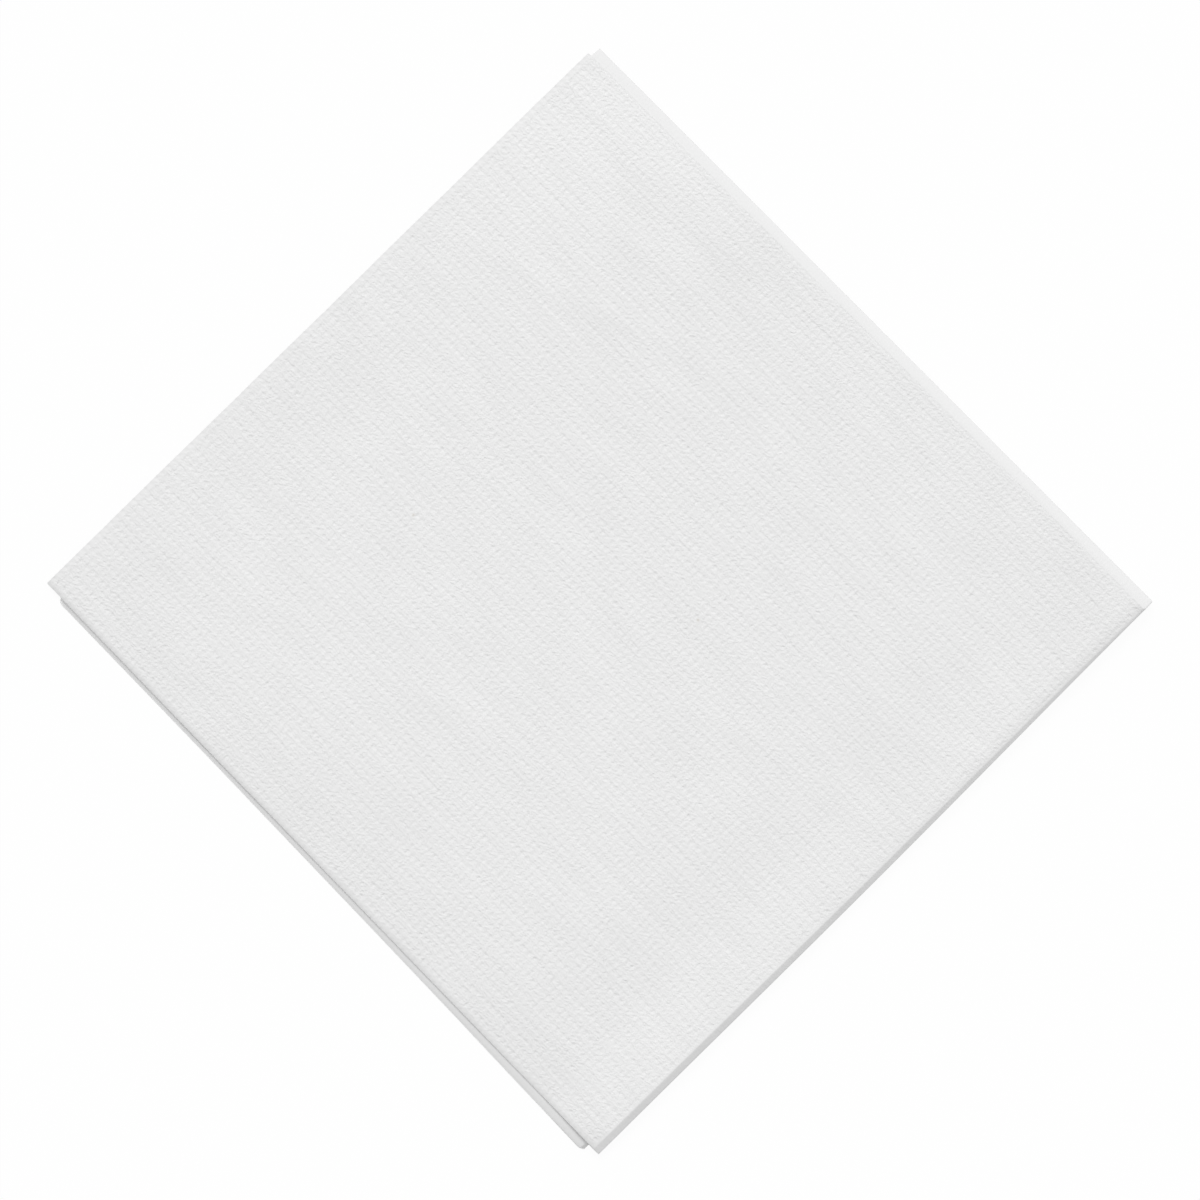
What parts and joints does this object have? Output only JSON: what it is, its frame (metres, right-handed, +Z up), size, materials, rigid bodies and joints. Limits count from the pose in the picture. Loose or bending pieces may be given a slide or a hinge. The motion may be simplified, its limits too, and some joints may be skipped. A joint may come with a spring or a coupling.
{
  "type": "paper napkin",
  "caption": "Square white paper cocktail napkin, embossed two-ply tissue folded in quarters and lying flat.",
  "frame": {"origin": "bottom centre of the folded napkin's bounding box, on the surface it lies on", "axes": "+Z up through the layers, +Y towards the second fold, +X towards the first fold"},
  "size_m": [0.1274, 0.1268, 0.0027],
  "materials": {
    "tissue": "matt embossed white two-ply tissue"
  },
  "bodies": {
    "root": {"napkin": "tissue"}
  },
  "joints": []
}
